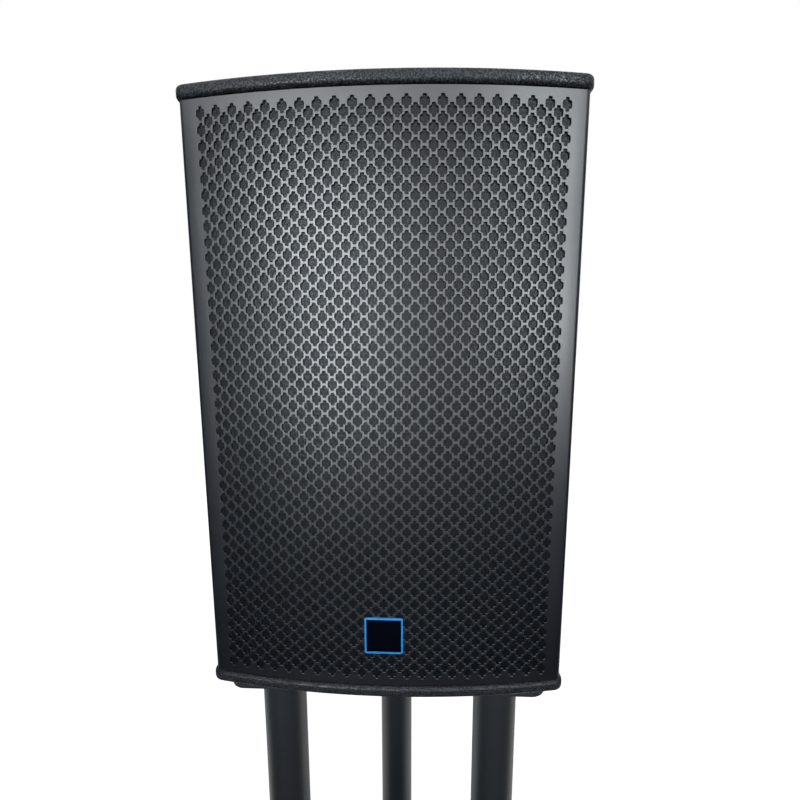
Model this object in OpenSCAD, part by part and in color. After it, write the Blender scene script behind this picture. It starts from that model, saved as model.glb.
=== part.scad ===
// Two-way loudspeaker on a three-column floor stand
// The front faces -Y, +X is to its right and the floor is at z = 0

/* [Cabinet] */
// Diameter over the woofer's frame
woofer_d = 305; // [295:1:320]
// Room beside the woofer's frame, out to the cabinet's side
side_room = 37; // [34:0.5:60]
// Thickness of the top and bottom panels
panel_t = 12; // [11:0.5:18]
// Thickness of the sides, the back and the baffle
wall_t = 15; // [12:0.5:16]
// Depth from the middle of the grille to the back
cab_d = 345; // [340:1:420]
// Width across the back
back_w = 280; // [270:1:330]
// How far the top and bottom panels stand out past the walls and the grille
panel_over = 3.5; // [2:0.5:6]
// Radius of the rounded edges of the top and bottom panels
edge_r = 4; // [2:0.5:5]
// Radius of the corners of the top and bottom panels, seen from above
corner_r = 12; // [8:1:20]
// Space above the horn and below the woofer
edge_space = 11.5; // [8:0.5:20]
// Space between the woofer and the horn, where the ports sit
port_space = 78; // [78:1:110]
// Depth from the middle of the grille to the baffle
baffle_depth = 45; // [44:1:60]

/* [Grille] */
// Radius of the grille's bow
bow_r = 1100; // [1000:10:2000]
// Thickness of the grille's sheet
grille_t = 1.2; // [1:0.1:2]
// Outside radius of the bends at the grille's sides
bend_r = 6; // [4:0.5:8]
// Gap round the grille's edges
grille_gap = 1; // [0.5:0.1:2]
// Width of one cell of the grille's staggered mesh
cell_w = 32; // [30:1:60]
// Height of one cell of the grille's staggered mesh
cell_h = 28.6; // [28:0.2:60]
// Width of the webs between the grille's holes
web_w = 6; // [4:0.5:8]
// Least plain margin beside the holes, at the grille's sides
side_margin = 15; // [12:0.5:30]
// Least plain margin above and below the holes
end_margin = 8; // [6:0.5:20]
// Thickness of the foam behind the grille
foam_t = 5; // [3:0.5:6]
// Width and depth of the battens that carry the grille
batten_w = 14; // [12:0.5:16]
// Width of the square badge
badge_w = 40; // [30:1:60]
// Thickness of the badge
badge_t = 2; // [1.5:0.1:4]
// Height of the badge's middle above the cabinet's bottom
badge_h = 71; // [60:1:200]

/* [Woofer] */
// Thickness of the woofer frame's flange
flange_t = 5; // [4:0.5:7]
// Width of the flange that lies on the baffle
flange_seat = 14; // [13:0.5:16]
// Thickness of the basket's wall
basket_t = 4; // [3:0.5:5]
// Depth of the basket's cone
basket_l = 62; // [55:1:75]
// Length of the can that holds the spider
can_l = 20; // [18:0.5:26]
// Outside radius of the can and of the top plate that closes it
can_r = 80; // [76:1:90]
// Radius of the surround's roll
roll_r = 9; // [7:0.5:10]
// Outside diameter of the voice coil's former
coil_d = 75; // [60:1:78]
// Thickness of the cone's paper
cone_t = 1.5; // [1:0.1:2]
// Radius of the dust cap
cap_r = 46; // [44:1:60]
// Height of the dust cap's dome
cap_h = 16; // [10:1:20]
// Outside radius of the magnet
magnet_r = 85; // [80:1:90]
// Thickness of the magnet
magnet_t = 22; // [18:1:26]
// Thickness of the motor's top and back plates
motor_plate_t = 8; // [6:0.5:10]
// Running gap on each side of the voice coil
coil_gap = 1.2; // [0.8:0.1:1.5]
// Travel of the cone each way
cone_travel = 6; // [3:0.5:8]

/* [Horn and ports] */
// Width of the horn's flange
horn_w = 270; // [240:1:290]
// Height of the horn's flange
horn_h = 180; // [160:1:200]
// Width of the horn's flange round its mouth
horn_rim = 15; // [14:0.5:20]
// Thickness of the horn's flange and of its throat flange
horn_flange_t = 4; // [3:0.5:6]
// Wall of the horn
horn_wall = 3; // [2:0.5:4]
// Length of the horn behind the baffle's front
horn_l = 100; // [90:1:120]
// Diameter of the horn's throat
throat_d = 25.4; // [25.4:0.1:36]
// Radius of the compression driver
driver_r = 60; // [56:1:70]
// Length of the compression driver's magnet system
driver_l = 40; // [36:1:50]
// Radius of the compression driver's diaphragm, over its rim
diaphragm_r = 30; // [26:0.5:34]
// Inside diameter of the port tubes
port_d = 62; // [50:1:62]
// Length of the port tubes behind the baffle's front
port_l = 110; // [80:1:120]
// Wall of the port tubes
port_wall = 3; // [2:0.5:4]
// How far a port's flange reaches past its bore
port_rim = 7; // [6:0.5:7]

/* [Fittings] */
// Width of a handle's flange, from front to back
handle_w = 150; // [140:1:160]
// Height of a handle's flange
handle_h = 92; // [86:1:110]
// Width of the flange round a handle's pocket
handle_rim = 15; // [14:0.5:16]
// Depth of a handle's pocket
pocket_d = 45; // [35:1:50]
// Wall of a handle's pocket and thickness of its flange
handle_wall = 3; // [2:0.5:4]
// Height of the handles' middle above the cabinet's bottom
handle_up = 330; // [250:1:400]
// Room between a handle and the back panel
handle_room = 28; // [20:1:40]
// Diameter of the stand pole that fits the pole socket
pole_d = 35; // [35:0.5:38]
// Depth of the pole socket
pole_depth = 80; // [60:1:84]
// Wall of the pole socket
pole_wall = 2.5; // [2:0.5:4]
// Distance from the pole socket's axis to the back
pole_back = 150; // [140:1:155]
// Height of the cabinet's rubber feet
cab_foot_h = 5; // [5:0.5:10]
// Diameter of the cabinet's rubber feet
cab_foot_d = 30; // [24:1:40]
// Width of the terminal plate
terminal_w = 120; // [100:1:140]
// Height of the terminal plate
terminal_h = 80; // [70:1:100]
// Height of the terminal plate's middle above the cabinet's bottom
terminal_up = 150; // [120:1:180]
// Diameter of a jack's bore, for a quarter-inch plug
jack_d = 6.5; // [6.4:0.1:7]
// Depth of a jack's bore
jack_depth = 30; // [28:1:34]
// Distance between the two jacks
jack_pitch = 50; // [40:1:54]
// Width of the crossover's board
board_w = 150; // [140:1:180]
// Height of the crossover's board
board_h = 100; // [100:1:120]

/* [Stand] */
// Length of the columns
column_l = 700; // [600:5:1000]
// Outside diameter of the columns
column_d = 51; // [45:1:60]
// Wall of the columns
column_wall = 2; // [1.5:0.1:3]
// Length of the plugs in the columns' ends
plug_l = 25; // [22:1:40]
// Width of the top plate
plate_w = 356; // [330:1:370]
// Depth of the top plate
plate_d = 277; // [260:1:300]
// Thickness of the top plate
plate_t = 6; // [6:0.5:10]
// Radius of the top plate's corners
plate_r = 18; // [10:1:30]
// Distance from the middle of the grille to the top plate's front edge
plate_setback = 16.5; // [10:0.5:30]
// Distance from a column's axis to the nearest edges of the top plate
column_inset = 49; // [40:1:60]
// Width of the base plate
base_w = 440; // [420:1:520]
// Depth of the base plate
base_d = 410; // [380:1:480]
// Thickness of the base plate
base_t = 10; // [8:0.5:15]
// Radius of the base plate's corners
base_r = 40; // [20:1:60]
// Height of the stand's rubber feet
base_foot_h = 8; // [6:0.5:15]
// Diameter of the stand's rubber feet
base_foot_d = 40; // [30:1:50]
// Distance from a foot's axis to the edges of the base plate
base_foot_inset = 40; // [30:1:50]
// Diameter of the bolts in the columns
bolt_d = 8; // [6:1:10]

/* [Clearances] */
// Gap between fixed pieces that fit into each other
fit = 0.2; // [0.1:0.05:0.4]
// Gap between pieces that move and pieces that stand still
run_gap = 0.3; // [0.25:0.05:0.5]

/* [Hidden] */
$fn = 64;
thin = 0.01;
past = 1;

// Heights, from the floor up
column_z = base_foot_h + base_t;
plate_z = column_z + column_l;
cab_z = plate_z + plate_t + run_gap + cab_foot_h;
inside_h = 2 * edge_space + woofer_d + port_space + horn_h;
inside_z = cab_z + panel_t;
top_z = inside_z + inside_h;
middle_z = inside_z + inside_h / 2;

// Depths, from the front back
front_y = -cab_d / 2;
back_y = cab_d / 2;
baffle_y = front_y + baffle_depth;
bow_y = front_y + bow_r;

// Side walls
cab_w = woofer_d + 2 * side_room;
taper = (cab_w - back_w) / 2 / (back_y - baffle_y);
taper_a = atan(taper);
wall_x = wall_t / cos(taper_a);
function half_out(y) = cab_w / 2 - (y - baffle_y) * taper;
function half_in(y) = half_out(y) - wall_x;

// Outline of the end panels: the centres of its round corners on the right
panel_in = corner_r - panel_over;
panel_front_a = asin((cab_w / 2 - panel_in) / (bow_r - panel_in));
panel_front = [cab_w / 2 - panel_in, bow_y - (bow_r - panel_in) * cos(panel_front_a)];
panel_side = [cab_w / 2 - panel_in, baffle_y - panel_in * tan(taper_a / 2)];
panel_back = [half_out(back_y - panel_in) - panel_in / cos(taper_a), back_y - panel_in];
bow_steps = 12;
corner_steps = 6;

// Grille
grille_h = inside_h - 2 * grille_gap;
bend_x = cab_w / 2 - bend_r;
bend_a = asin(bend_x / (bow_r - bend_r));
bend_y = bow_y - (bow_r - bend_r) * cos(bend_a);
web_half = web_w / 2 * norm([cell_w, cell_h]);
hole_w = cell_w - web_half / cell_h * 2;
hole_h = cell_h - web_half / cell_w * 2;
columns = floor((cab_w - 2 * side_margin - hole_w) / cell_w) + 1;
rows = floor((grille_h - 2 * end_margin - hole_h) / cell_h) + 1;
batten_x = cab_w / 2 - grille_t - run_gap - batten_w;
grille_screw_y = baffle_y - batten_w / 2;
grille_screw_in = 60;
grille_screw_up = grille_h / 2 - grille_screw_in;
foam_r = bow_r - grille_t - fit;
foam_a = asin((batten_x - fit) / foam_r);

// Woofer
woofer_r = woofer_d / 2;
woofer_z = inside_z + edge_space + woofer_r;
basket_r = woofer_r - flange_seat;
roll_edge = 6;
roll_mid = basket_r - basket_t - roll_edge - roll_r;
surround_t = 1;
gasket_t = 3;
coil_r = coil_d / 2;
former_t = 0.8;
winding_t = 1.4;
motor_z = basket_l + can_l;
motor_r = can_r - 2;
magnet_z = motor_z + motor_plate_t;
coil_end = magnet_z + cone_travel;
back_plate_z = magnet_z + magnet_t;
neck_r = coil_r + fit;
neck_set = 4;
neck_z = basket_l - neck_set;
cone_r = roll_mid - roll_r;
lip_r = cone_r - roll_edge;
lip_z = run_gap - flange_t;
cap_z = neck_z + (lip_z - neck_z) * (cap_r - neck_r) / (lip_r - neck_r) - fit;
cap_sphere = (cap_r * cap_r + cap_h * cap_h) / (2 * cap_h);

// Horn and ports
horn_z = top_z - edge_space - horn_h / 2;
port_z = horn_z - horn_h / 2 - port_space / 2;
throat_r = throat_d / 2;
mouth_w = horn_w - 2 * horn_rim;
mouth_h = horn_h - 2 * horn_rim;
mouth_r = 20;
throat_flange_r = 46;
driver_y = baffle_y + horn_l + horn_flange_t;
driver_waist = 8;
driver_bolt_x = 38;
driver_bolt_l = 18;
driver_shank_r = 3;
driver_head_r = 5;
cover_l = 18;
diaphragm_gap = 0.4;
port_r = port_d / 2;
port_room = 4;
port_x = min(batten_x - port_rim, half_in(baffle_y + port_l) - port_wall) - port_r - port_room;

// Fittings
handle_y = back_y - wall_t - handle_room - handle_w / 2;
handle_z = cab_z + handle_up;
handle_inset = 6;
pocket_w = handle_w - 2 * handle_rim;
pocket_h = handle_h - 2 * handle_rim;
pocket_r = 12;
pole_y = back_y - pole_back;
pole_clear = 0.5;
pole_r = pole_d / 2 + pole_clear;
pole_flange_r = 45;
pole_flange_t = 2.5;
pole_head_t = 1.8;
pole_screw_in = 9;
terminal_z = cab_z + terminal_up;
terminal_t = 2.5;
terminal_rim = 15;
terminal_r = 6;
terminal_inset = 7;
jack_r = jack_d / 2;
jack_body_r = 9;
jack_neck_r = 6;
nut_t = 3;
jack_lip = 1;
jack_end = 2;
board_room = 40;
board_z = terminal_z + terminal_h / 2 + board_room + board_h / 2;
board_inset = 8;
board_t = 1.6;
standoff_l = 10;
standoff_r = 4;
board_y = back_y - wall_t - standoff_l;
coil_l = 24;

// Stand
plate_y = front_y + plate_setback;
plate_mid_y = plate_y + plate_d / 2;
column_x = plate_w / 2 - column_inset;
column_front_y = plate_y + column_inset;
column_rear_y = plate_y + plate_d - column_inset;
column_spots = [[-column_x, column_front_y], [column_x, column_front_y], [0, column_rear_y]];
column_r = column_d / 2;
bolt_r = bolt_d / 2;
bolt_head_r = bolt_d;
bolt_head_t = bolt_r;
base_foot_x = base_w / 2 - base_foot_inset;
base_foot_y = base_d / 2 - base_foot_inset;

// Screws: radius of the head, its height and the radius of the shank
screw_head_r = 4;
screw_head_t = 2;
screw_r = 1.75;
// Material left past a screw's tip, and the screws' length in walls and panels
screw_end = 3;
wall_bite = wall_t - screw_end;
panel_bite = panel_t - screw_end;

// Where the screws go
woofer_screws_n = 8;
woofer_screw_in = 6;
woofer_screw_r = woofer_r - woofer_screw_in;
horn_screw_in = 40;
horn_screw_x = horn_w / 2 - horn_screw_in;
horn_screw_out = 2;
horn_screw_z = (horn_h - horn_rim) / 2 + horn_screw_out;

// Feet, and how deep their screws' heads sit
cab_sink = 3;
base_sink = 4;
foot_inset = 38;
foot_front_x = 95;
foot_side = 40;
foot_front = [foot_front_x, plate_y + foot_inset];
foot_rear = [back_w / 2 - foot_side, plate_y + plate_d - foot_inset];
foot_spots = [for (p = [foot_front, foot_rear], s = [-1, 1]) [s * p[0], p[1]]];

// Shared shapes

module rounded(w, h, r) {
  offset(r = r, $fn = 32) square([w - 2 * r, h - 2 * r], center = true);
}

// A flat outline in X and Z, made solid from y = 0 back to y = depth
module slab_y(depth) {
  translate([0, depth, 0]) rotate([90, 0, 0]) linear_extrude(depth) children();
}

// A flat outline in Y and Z, made solid from x = 0 to x = depth
module slab_x(depth) {
  rotate([90, 0, 90]) linear_extrude(depth) children();
}

// Turns a piece that is drawn along +Z so that it runs back along +Y
module backward() {
  rotate([-90, 0, 0]) children();
}

module at_baffle(x, z) {
  translate([x, baffle_y, z]) backward() children();
}

module both_sides() {
  children();
  mirror([1, 0, 0]) children();
}

module ring(r_in, r_out, h) {
  difference() {
    cylinder(r = r_out, h = h);
    translate([0, 0, -past]) cylinder(r = r_in, h = h + 2 * past);
  }
}

// A screw along +Z with its head's seat at z = 0
module screw(length, shank = screw_r, head = screw_head_r, head_t = screw_head_t) {
  translate([0, 0, -head_t]) cylinder(r = head, h = head_t);
  cylinder(r = shank, h = length);
}

module pilot(length, shank = screw_r) {
  translate([0, 0, -past]) cylinder(r = shank + fit, h = length + past + fit);
}

// Cabinet

function arc(c, r, from_a, to_a, steps) =
  [for (k = [0 : steps]) let(a = from_a + (to_a - from_a) * k / steps) c + r * [cos(a), sin(a)]];

// The right-hand half of an end panel's outline, from the middle of the bow to the back
function panel_half(inset) = concat(
  arc([0, bow_y], bow_r + panel_over - inset, -90, panel_front_a * (1 - 1 / bow_steps) - 90, bow_steps - 1),
  arc(panel_front, corner_r - inset, panel_front_a - 90, 0, corner_steps),
  arc(panel_side, corner_r - inset, 0, taper_a, 1),
  arc(panel_back, corner_r - inset, taper_a, 90, corner_steps)
);

// A whole outline at height z
function panel_ring(inset, z) = let(half = panel_half(inset)) concat(
  [for (p = half) [p[0], p[1], z]],
  [for (k = [len(half) - 1 : -1 : 1]) [-half[k][0], half[k][1], z]]
);

// A panel with a rounded edge, from z = 0 up
module end_panel() {
  turns = [0 : 30 : 90];
  rings = concat(
    [for (a = turns) panel_ring(edge_r * (1 - sin(a)), edge_r * (1 - cos(a)))],
    [for (a = turns) panel_ring(edge_r * (1 - cos(a)), panel_t - edge_r * (1 - sin(a)))]
  );
  n = len(rings[0]);
  last = len(rings) - 1;
  polyhedron([for (r = rings, q = r) q], concat(
    [[for (k = [0 : n - 1]) k]],
    [for (j = [0 : last - 1], k = [0 : n - 1])
      let(a = j * n + k, b = j * n + (k + 1) % n) [a, a + n, b + n, b]],
    [[for (k = [n - 1 : -1 : 0]) last * n + k]]
  ));
}

module top_panel() {
  color("#26272a") translate([0, 0, top_z]) end_panel();
}

module bottom_panel() {
  color("#26272a") difference() {
    translate([0, 0, cab_z]) end_panel();
    translate([0, pole_y, cab_z - past]) cylinder(r = pole_r + pole_wall + fit, h = panel_t + 2 * past);
    pole_screw_spots() pilot(panel_bite);
    for (p = foot_spots) translate([p[0], p[1], cab_z]) pilot(panel_bite);
  }
}

// The right-hand side panel; the left one mirrors it
module side_panel() {
  difference() {
    translate([0, 0, inside_z]) linear_extrude(inside_h) polygon([
      [half_in(baffle_y), baffle_y], [half_out(baffle_y), baffle_y],
      [half_out(back_y), back_y], [half_in(back_y), back_y]
    ]);
    at_side() translate([-wall_t - past, 0, 0]) slab_x(wall_t + 2 * past)
      rounded(pocket_w + 2 * (handle_wall + fit), pocket_h + 2 * (handle_wall + fit), pocket_r);
    handle_screw_spots() pilot(wall_bite);
  }
}

module left_side_panel() {
  color("#232427") mirror([1, 0, 0]) side_panel();
}

module right_side_panel() {
  color("#232427") side_panel();
}

// A board across the cabinet, between the side panels
module cross_board(y) {
  y_end = y + wall_t;
  translate([0, 0, inside_z]) linear_extrude(inside_h) polygon([
    [-half_in(y), y], [half_in(y), y], [half_in(y_end), y_end], [-half_in(y_end), y_end]
  ]);
}

module back_panel() {
  color("#232427") difference() {
    cross_board(back_y - wall_t);
    translate([0, back_y - wall_t - past, terminal_z]) slab_y(wall_t + 2 * past)
      rounded(terminal_w - 2 * terminal_rim, terminal_h - 2 * terminal_rim, terminal_r);
    terminal_screw_spots() pilot(wall_bite);
    board_screw_spots() cylinder(r = screw_r + fit, h = wall_bite);
  }
}

module front_baffle() {
  color("#1c1d1f") difference() {
    cross_board(baffle_y);
    at_baffle(0, woofer_z) translate([0, 0, -past])
      cylinder(r = basket_r + past, h = wall_t + 2 * past, $fn = 128);
    translate([0, baffle_y - past, horn_z]) slab_y(wall_t + 2 * past)
      rounded(mouth_w + 2 * (horn_wall + past), mouth_h + 2 * (horn_wall + past), mouth_r);
    for (s = [-1, 1]) at_baffle(s * port_x, port_z)
      translate([0, 0, -past]) cylinder(r = port_r + port_wall + fit, h = wall_t + 2 * past);
    woofer_screw_spots() pilot(wall_bite);
    horn_screw_spots() pilot(wall_bite);
  }
}

// Grille

// A batten on each side, between the baffle and the grille's fold
module grille_battens() {
  color("#8a6b45") both_sides() difference() {
    translate([batten_x, baffle_y - batten_w, inside_z]) cube([batten_w, batten_w, inside_h]);
    grille_screw_spots() pilot(batten_w - screw_end);
  }
}

// What the bent sheet wraps, its faces set in from the sheet's outside and drawn out past its open edges
module grille_block(inset) {
  half = cab_w / 2 - inset;
  wedge = bend_x * bow_r / (bow_y - bend_y);
  linear_extrude(grille_h + 2 * inset, center = true) {
    intersection() {
      translate([0, bow_y]) circle(bow_r - inset, $fn = 256);
      polygon([[-bend_x, bend_y], [bend_x, bend_y], [wedge, front_y], [-wedge, front_y]]);
    }
    for (s = [-1, 1]) translate([s * bend_x, bend_y]) circle(bend_r - inset);
    translate([-half, bend_y]) square([2 * half, baffle_y - grille_gap + inset - bend_y]);
  }
}

module grille_sheet() {
  difference() {
    grille_block(0);
    grille_block(grille_t);
  }
}

// A field of diamond holes, with every second row set between its neighbours
module mesh_holes() {
  for (odd = [0, 1], c = [0 : columns - 1 - odd], r = [0 : rows - 1 - odd])
    translate([(c - (columns - 1 - odd) / 2) * cell_w, (r - (rows - 1 - odd) / 2) * cell_h])
      polygon([[hole_w / 2, 0], [0, hole_h / 2], [-hole_w / 2, 0], [0, -hole_h / 2]]);
}

module grille() {
  color("#2b2d31") difference() {
    translate([0, 0, middle_z]) grille_sheet();
    translate([0, front_y - past, middle_z]) slab_y(bend_y - front_y + 2 * past) mesh_holes();
    both_sides() grille_screw_spots()
      translate([0, 0, -grille_t - past]) cylinder(r = screw_head_r + fit, h = grille_t + 2 * past);
  }
}

module grille_foam() {
  color("#3a3c40") translate([0, bow_y, middle_z - grille_h / 2]) rotate([0, 0, -90 - foam_a])
    rotate_extrude(angle = 2 * foam_a, $fn = 256) translate([foam_r - foam_t, 0]) square([foam_t, grille_h]);
}

// Down the right-hand fold, each facing into the batten
module grille_screw_spots() {
  for (k = [-1 : 1])
    translate([cab_w / 2 - grille_t, grille_screw_y, middle_z + k * grille_screw_up])
      rotate([0, -90, 0]) children();
}

module grille_screws() {
  color("#1a1a1b") both_sides() grille_screw_spots() screw(batten_w - screw_end, head_t = grille_t);
}

// A bare plate with a low rim
module badge() {
  rim = 1.6;
  recess = 0.5;
  r = 2;
  color("#2f7fc4") translate([0, front_y - fit - badge_t, cab_z + badge_h]) difference() {
    slab_y(badge_t) rounded(badge_w, badge_w, r);
    translate([0, -past, 0]) slab_y(recess + past) rounded(badge_w - 2 * rim, badge_w - 2 * rim, r / 2);
  }
}

// Woofer, drawn along +Z from the baffle's front

module woofer_screw_spots() {
  at_baffle(0, woofer_z) for (k = [0 : woofer_screws_n - 1])
    rotate([0, 0, (k + 0.5) * 360 / woofer_screws_n]) translate([woofer_screw_r, 0, 0]) children();
}

module woofer_frame() {
  windows = 6;
  window_w = 62;
  window_rim = 12;
  can_in = can_r - basket_t;
  shelf = can_in - 24;
  color("#2a2a2c") difference() {
    at_baffle(0, woofer_z) difference() {
      rotate_extrude($fn = 128) polygon([
        [roll_mid + roll_r - surround_t, -flange_t], [woofer_r, -flange_t], [woofer_r, 0], [basket_r, 0],
        [can_r, basket_l], [can_r, motor_z], [shelf, motor_z], [shelf, motor_z - basket_t],
        [can_in, motor_z - basket_t], [can_in, basket_l], [basket_r - basket_t, 0],
        [roll_mid + roll_r - surround_t, 0]
      ]);
      for (k = [0 : windows - 1]) rotate([0, 0, k * 360 / windows])
        translate([can_r - 2 * basket_t, -window_w / 2, window_rim])
          cube([basket_r, window_w, basket_l - 2 * window_rim]);
    }
    woofer_screw_spots() translate([0, 0, -flange_t]) pilot(flange_t);
  }
}

module woofer_gasket() {
  color("#121213") at_baffle(0, woofer_z) translate([0, 0, -flange_t - surround_t - gasket_t])
    ring(roll_mid + roll_r, basket_r, gasket_t, $fn = 128);
}

// Two flat lips and a half-round roll that bulges to the front
module woofer_surround() {
  seat = -flange_t - surround_t;
  color("#101011") at_baffle(0, woofer_z) translate([0, 0, seat]) rotate_extrude($fn = 128) {
    translate([lip_r, 0]) square([cone_r - lip_r + surround_t, surround_t]);
    translate([roll_mid + roll_r - surround_t, 0])
      square([basket_r - roll_mid - roll_r + surround_t, surround_t]);
    translate([roll_mid, 0]) intersection() {
      difference() {
        circle(r = roll_r);
        circle(r = roll_r - surround_t);
      }
      translate([-roll_r - past, -roll_r - past]) square([2 * (roll_r + past), roll_r + past]);
    }
  }
}

module woofer_cone() {
  color("#202022") at_baffle(0, woofer_z) rotate_extrude($fn = 128) polygon([
    [neck_r, neck_z], [lip_r, lip_z], [cone_r, lip_z], [cone_r, lip_z + cone_t],
    [lip_r, lip_z + cone_t], [neck_r, neck_z + 2 * cone_t]
  ]);
}

module woofer_dust_cap() {
  cap_t = 1;
  color("#1a1a1c") at_baffle(0, woofer_z) rotate_extrude($fn = 128) intersection() {
    translate([0, cap_z - cap_h + cap_sphere]) difference() {
      circle(r = cap_sphere, $fn = 256);
      circle(r = cap_sphere - cap_t, $fn = 256);
    }
    translate([0, cap_z - cap_h - past]) square([cap_r + past, cap_h + past]);
  }
}

module woofer_voice_coil() {
  color("#b0703a") at_baffle(0, woofer_z) {
    translate([0, 0, neck_z]) ring(coil_r - former_t, coil_r, coil_end - neck_z);
    translate([0, 0, motor_z - cone_travel])
      ring(coil_r, coil_r + winding_t, motor_plate_t + 2 * cone_travel);
  }
}

// A corrugated disc between the can and the coil's former
module woofer_spider() {
  waves = 8;
  swing = 2;
  spider_t = 0.8;
  set = 4;
  from_r = coil_r + run_gap;
  step = (can_r - basket_t - fit - from_r) / waves;
  mid_z = basket_l + swing + set;
  color("#c8a060") at_baffle(0, woofer_z) rotate_extrude($fn = 96) polygon(concat(
    [for (k = [0 : waves]) [from_r + k * step, mid_z + (k % 2 == 0 ? -swing : swing)]],
    [for (k = [waves : -1 : 0]) [from_r + k * step, mid_z + (k % 2 == 0 ? -swing : swing) + spider_t]]
  ));
}

module woofer_top_plate() {
  color("#6f7276") at_baffle(0, woofer_z) translate([0, 0, motor_z])
    ring(coil_r + winding_t + coil_gap, motor_r, motor_plate_t);
}

module woofer_magnet() {
  room = 6;
  color("#2b2b2d") at_baffle(0, woofer_z) translate([0, 0, magnet_z])
    ring(coil_r + winding_t + coil_gap + room, magnet_r, magnet_t, $fn = 96);
}

// The back plate and its vented pole are one turned piece
module woofer_back_plate() {
  pole = coil_r - former_t - coil_gap;
  vent = 8;
  color("#6f7276") at_baffle(0, woofer_z) rotate_extrude() polygon([
    [vent, motor_z], [pole, motor_z], [pole, back_plate_z], [motor_r, back_plate_z],
    [motor_r, back_plate_z + motor_plate_t], [vent, back_plate_z + motor_plate_t]
  ]);
}

module woofer_screws() {
  color("#3c3c3e") woofer_screw_spots() translate([0, 0, -flange_t]) screw(flange_t + wall_bite);
}

// Horn, drawn along +Z from the baffle's front

function flare(mouth, t) = mouth / 2 * pow(throat_d / mouth, t);

// One thin slice of the horn's passage, t = 0 at the mouth and 1 at the throat
module horn_slice(t, grow) {
  w = flare(mouth_w, t);
  h = flare(mouth_h, t);
  r = mouth_r + (throat_r - thin - mouth_r) * t;
  linear_extrude(thin) offset(r = r + grow, $fn = 32) square([2 * (w - r), 2 * (h - r)], center = true);
}

module horn_passage(from_z, to_z, grow) {
  steps = 3;
  for (k = [0 : steps - 1]) hull() for (t = [k / steps, (k + 1) / steps])
    translate([0, 0, from_z + (to_z - from_z) * t]) horn_slice(t, grow);
}

module horn_screw_spots() {
  for (x = [-horn_screw_x, 0, horn_screw_x], s = [-1, 1])
    at_baffle(x, horn_z + s * horn_screw_z) children();
}

module driver_bolt_spots() {
  for (s = [-1, 1]) translate([s * driver_bolt_x, driver_y - horn_flange_t, horn_z]) backward() children();
}

module horn() {
  color("#17181a") difference() {
    union() {
      translate([0, baffle_y - horn_flange_t, horn_z]) slab_y(horn_flange_t) rounded(horn_w, horn_h, mouth_r);
      at_baffle(0, horn_z) {
        horn_passage(-horn_flange_t / 2, horn_l + thin, horn_wall);
        translate([0, 0, horn_l]) cylinder(r = throat_flange_r, h = horn_flange_t);
      }
    }
    at_baffle(0, horn_z) {
      horn_passage(-horn_flange_t - past, horn_l + thin, 0);
      translate([0, 0, horn_l - past]) cylinder(r = throat_r - fit, h = horn_flange_t + 2 * past);
    }
    horn_screw_spots() translate([0, 0, -horn_flange_t]) pilot(horn_flange_t);
    driver_bolt_spots() pilot(horn_flange_t, driver_shank_r);
  }
}

module horn_screws() {
  color("#3c3c3e") horn_screw_spots() translate([0, 0, -horn_flange_t]) screw(horn_flange_t + wall_bite);
}

// A turned block with the throat's bore and a recess for the diaphragm
module driver_body() {
  recess = 4;
  color("#3a3b3e") difference() {
    translate([0, driver_y, horn_z]) backward() rotate_extrude($fn = 96) polygon([
      [throat_r, 0], [throat_flange_r, 0], [throat_flange_r, driver_waist], [driver_r, driver_waist],
      [driver_r, driver_l - driver_waist], [driver_r - driver_waist, driver_l - driver_waist],
      [driver_r - driver_waist, driver_l], [diaphragm_r + run_gap, driver_l],
      [diaphragm_r + run_gap, driver_l - recess], [throat_r, driver_l - recess]
    ]);
    driver_bolt_spots() translate([0, 0, horn_flange_t]) pilot(driver_bolt_l, driver_shank_r);
  }
}

module driver_bolts() {
  color("#8b8d90") driver_bolt_spots()
    screw(horn_flange_t + driver_bolt_l, driver_shank_r, driver_head_r, driver_shank_r);
}

// A flat rim and a dome that bulges to the rear
module driver_diaphragm() {
  rim = 5;
  dome_r = diaphragm_r - rim;
  dome_h = 7;
  film = 0.5;
  sphere_r = (dome_r * dome_r + dome_h * dome_h) / (2 * dome_h);
  y = driver_y + driver_l + diaphragm_gap;
  color("#b9bcc0") translate([0, y, horn_z]) backward() rotate_extrude($fn = 96) {
    translate([dome_r - film, 0]) square([rim + film, film]);
    intersection() {
      translate([0, dome_h - sphere_r]) difference() {
        circle(r = sphere_r, $fn = 192);
        circle(r = sphere_r - film, $fn = 192);
      }
      square([diaphragm_r, dome_h + past]);
    }
  }
}

module driver_cover() {
  wall = 4;
  bore = diaphragm_r + 3;
  out = driver_r - driver_waist;
  color("#1d1e20") translate([0, driver_y + driver_l, horn_z]) backward() rotate_extrude($fn = 96) polygon([
    [bore, 0], [out, 0], [out, cover_l - wall], [out - wall, cover_l],
    [0, cover_l], [0, cover_l - wall], [bore, cover_l - wall]
  ]);
}

module port_tube(x) {
  color("#131314") at_baffle(x, port_z) rotate_extrude($fn = 96) polygon([
    [port_r, -port_wall], [port_r + port_rim, -port_wall], [port_r + port_rim, 0], [port_r + port_wall, 0],
    [port_r + port_wall, port_l], [port_r, port_l]
  ]);
}

module left_port_tube() {
  port_tube(-port_x);
}

module right_port_tube() {
  port_tube(port_x);
}

// Crossover, on the inside of the back panel

// The board's corner screws, each running back into the panel
module board_screw_spots() {
  x = board_w / 2 - board_inset;
  z = board_h / 2 - board_inset;
  for (sx = [-1, 1], sz = [-1, 1])
    translate([sx * x, board_y + standoff_l, board_z + sz * z]) backward() children();
}

module crossover_board() {
  color("#2f5a3a") difference() {
    translate([0, board_y - board_t, board_z]) slab_y(board_t) square([board_w, board_h], center = true);
    board_screw_spots() translate([0, 0, -standoff_l - board_t - past])
      cylinder(r = screw_r + fit, h = board_t + 2 * past);
  }
}

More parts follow.
